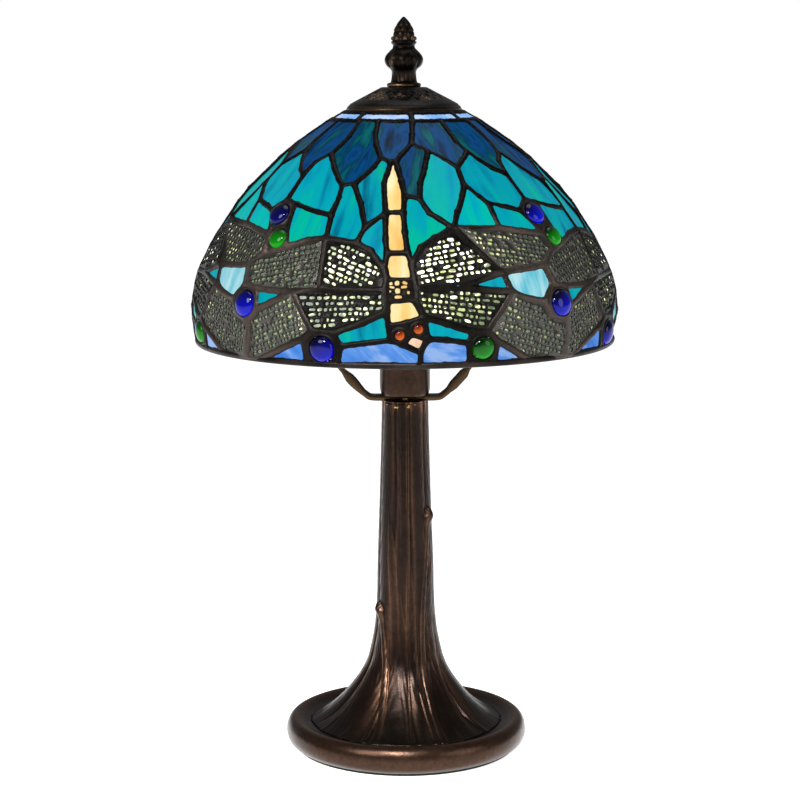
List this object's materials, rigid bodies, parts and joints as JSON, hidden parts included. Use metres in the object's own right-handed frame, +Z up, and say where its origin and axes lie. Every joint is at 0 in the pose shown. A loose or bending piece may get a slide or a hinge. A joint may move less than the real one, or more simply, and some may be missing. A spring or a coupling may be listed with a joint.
{
  "type": "stained glass table lamp",
  "caption": "Table lamp with a leaded dragonfly glass dome, pierced cap and fluted finial on a cast tree trunk base with a round foot.",
  "frame": {"origin": "centre of the base's underside, on the table", "axes": "+Z up along the trunk, -Y towards the front, where one dragonfly faces the viewer, +X to the viewer's right"},
  "size_m": [0.2558, 0.2558, 0.441],
  "materials": {
    "felt_pad": "felt",
    "base_disc": "dark antique bronze, coppery where rubbed",
    "trunk": "dark antique bronze, coppery on the ridges",
    "base_washer": "plated",
    "base_nut": "plated",
    "cord_bush": "moulded",
    "threaded_rod": "zinc plated",
    "harp_saddle": "aged",
    "socket_cap": "dark bronze",
    "socket_shell": "dark bronze",
    "insulating_sleeve": "fibre board",
    "socket_body": "moulded phenolic",
    "terminal_screws": "plated",
    "screw_shell": "bright",
    "centre_contact": "bright",
    "switch_shaft": "bright",
    "switch_knob": "fluted",
    "harp": "aged",
    "harp_stud": "aged",
    "harp_ferrule_left": "aged",
    "harp_ferrule_right": "aged",
    "bulb_base": "bright",
    "bulb_insulator": "black glass",
    "bulb_glass": "frosted, warm",
    "bulb_filament": "glowing",
    "lead_came": "black patina, brownish solder",
    "rim_band": "black patina",
    "top_ring": "dark",
    "heat_cap": "dark antique bronze",
    "teal_glass": "streaky teal art glass",
    "green_glass": "streaky sea green art glass",
    "petal_glass": "streaky deep blue art glass",
    "band_glass": "pale periwinkle art glass",
    "rim_glass": "blue and white streaky art glass",
    "sky_glass": "pale sky blue art glass",
    "amber_glass": "amber art glass",
    "face_glass": "pale beige art glass",
    "wing_glass": "clear to cream art glass",
    "wing_filigree": "dark patina",
    "thorax_plate": "dark patina",
    "blue_jewels": "pressed glass",
    "green_jewels": "pressed glass",
    "red_eyes": "pressed glass",
    "finial_insert": "bright",
    "finial": "dark antique bronze, coppery where rubbed"
  },
  "bodies": {
    "lamp_base": {"felt_pad": "felt_pad", "base_disc": "base_disc", "trunk": "trunk", "base_washer": "base_washer", "base_nut": "base_nut", "cord_bush": "cord_bush", "threaded_rod": "threaded_rod", "harp_saddle": "harp_saddle", "socket_cap": "socket_cap", "socket_shell": "socket_shell", "insulating_sleeve": "insulating_sleeve", "socket_body": "socket_body", "terminal_screws": "terminal_screws", "screw_shell": "screw_shell", "centre_contact": "centre_contact", "harp": "harp", "harp_stud": "harp_stud"},
    "switch": {"switch_shaft": "switch_shaft", "switch_knob": "switch_knob"},
    "ferrule_left": {"harp_ferrule_left": "harp_ferrule_left"},
    "ferrule_right": {"harp_ferrule_right": "harp_ferrule_right"},
    "bulb_screw": {"bulb_base": "bulb_base", "bulb_insulator": "bulb_insulator"},
    "bulb": {"bulb_glass": "bulb_glass", "bulb_filament": "bulb_filament"},
    "shade": {"lead_came": "lead_came", "rim_band": "rim_band", "top_ring": "top_ring", "heat_cap": "heat_cap", "teal_glass": "teal_glass", "green_glass": "green_glass", "petal_glass": "petal_glass", "band_glass": "band_glass", "rim_glass": "rim_glass", "sky_glass": "sky_glass", "amber_glass": "amber_glass", "face_glass": "face_glass", "wing_glass": "wing_glass", "wing_filigree": "wing_filigree", "thorax_plate": "thorax_plate", "blue_jewels": "blue_jewels", "green_jewels": "green_jewels", "red_eyes": "red_eyes"},
    "finial_screw": {"finial_insert": "finial_insert"},
    "finial_body": {"finial": "finial"}
  },
  "joints": [
    {"name": "shade_turn", "type": "hinge", "parent": "lamp_base", "child": "shade", "pos_m": [0, 0, 0.4], "axis": [0, 0, 1], "continuous": true},
    {"name": "finial_lift", "type": "slide", "parent": "lamp_base", "child": "finial_screw", "axis": [0, 0, 1], "range_m": [0, 0.00564]},
    {"name": "finial_turn", "type": "hinge", "parent": "finial_screw", "child": "finial_body", "pos_m": [0, 0, 0.41], "axis": [0, 0, 1], "range_deg": [0, 2160]},
    {"name": "switch_turn", "type": "hinge", "parent": "lamp_base", "child": "switch", "pos_m": [0, -0.02, 0.241], "axis": [0, -1, 0], "continuous": true},
    {"name": "ferrule_left_slide", "type": "slide", "parent": "lamp_base", "child": "ferrule_left", "axis": [0, 0, 1], "range_m": [0, 0.012]},
    {"name": "ferrule_right_slide", "type": "slide", "parent": "lamp_base", "child": "ferrule_right", "axis": [0, 0, 1], "range_m": [0, 0.012]},
    {"name": "bulb_lift", "type": "slide", "parent": "lamp_base", "child": "bulb_screw", "axis": [0, 0, 1], "range_m": [0, 0.0181]},
    {"name": "bulb_turn", "type": "hinge", "parent": "bulb_screw", "child": "bulb", "pos_m": [0, 0, 0.3], "axis": [0, 0, 1], "range_deg": [0, 1800]}
  ],
  "couplings": [
    {"joint": "finial_turn", "follows": "finial_lift", "rad_per_m": 6677.1},
    {"joint": "bulb_turn", "follows": "bulb_lift", "rad_per_m": 1730.9}
  ]
}
